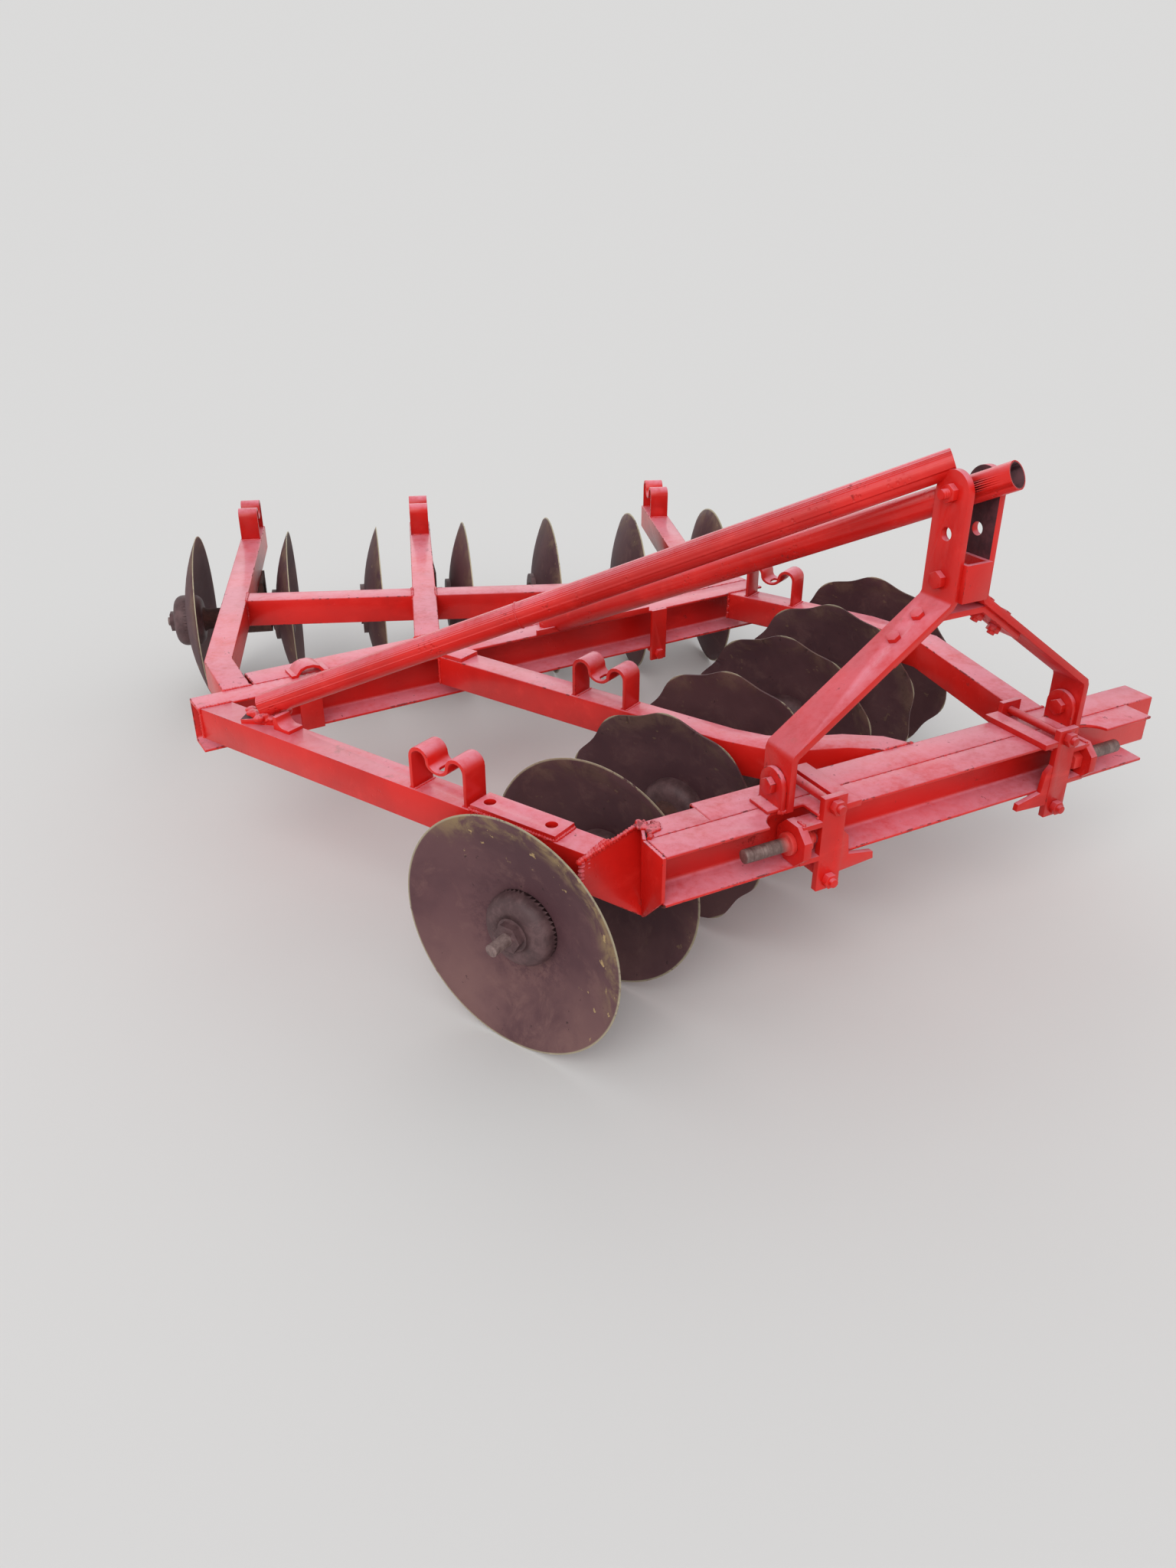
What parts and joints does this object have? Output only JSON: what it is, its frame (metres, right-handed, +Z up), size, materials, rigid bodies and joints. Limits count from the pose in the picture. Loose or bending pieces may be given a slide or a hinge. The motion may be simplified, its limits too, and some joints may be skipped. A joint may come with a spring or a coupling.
{
  "type": "mounted offset disc harrow",
  "caption": "Mounted offset disc harrow: two angled gangs of dished discs on square axles under a welded channel frame with a braced three-point hitch mast",
  "frame": {"origin": "middle of the bounding box, at the ground under the discs", "axes": "+Y runs from the hitch to the rear, +X to the machine's left side seen from the tractor looking back at it, +Z up"},
  "size_m": [1.9562, 2.4826, 1.083],
  "materials": {
    "red_paint": "hand-painted gloss red over pitted steel, pink weathering and rust at edges",
    "disc_steel": "purple-brown rust with a bright worn rim",
    "axle_steel": "dark rusted steel",
    "pin_steel": "bare turned steel, grey-brown with ring marks"
  },
  "bodies": {
    "frame": {"front_channel": "red_paint", "front_box": "red_paint", "corner_gusset": "red_paint", "rear_channel": "red_paint", "rear_box": "red_paint", "right_member": "red_paint", "middle_member": "red_paint", "left_member": "red_paint", "right_arm": "red_paint", "middle_arm": "red_paint", "left_arm": "red_paint", "right_cross_bar": "red_paint", "left_cross_bar": "red_paint", "front_seats": "red_paint", "rear_seats": "red_paint", "hole_plates": "red_paint", "front_hangers": "axle_steel", "rear_hangers": "axle_steel", "upper_brace": "red_paint", "lower_brace": "red_paint", "beam_fittings": "red_paint", "fitting_bolt": "axle_steel", "right_mast_bar": "red_paint", "left_mast_bar": "red_paint", "mast_arch": "red_paint", "mast_clip": "red_paint", "mast_bolts": "axle_steel", "mast_feet": "red_paint", "foot_bolts": "axle_steel", "right_bracket": "red_paint", "left_bracket": "red_paint", "right_link_pin": "pin_steel", "left_link_pin": "pin_steel", "beam_straps": "red_paint", "clamp_bolts": "axle_steel"},
    "front_gang": {"front_axle": "axle_steel", "front_plain_discs": "disc_steel", "front_scalloped_discs": "disc_steel", "front_spools": "axle_steel", "front_ends": "axle_steel"},
    "rear_gang": {"rear_axle": "axle_steel", "rear_discs": "disc_steel", "rear_spools": "axle_steel", "rear_ends": "axle_steel"}
  },
  "joints": [
    {"name": "front_gang_spin", "type": "hinge", "parent": "frame", "child": "front_gang", "pos_m": [-0.60792, -1.01353, 0.255], "axis": [0.8934, 0.4493, 0], "continuous": true},
    {"name": "rear_gang_spin", "type": "hinge", "parent": "frame", "child": "rear_gang", "pos_m": [-0.74192, 0.97647, 0.255], "axis": [0.9578, -0.2874, 0], "continuous": true}
  ]
}
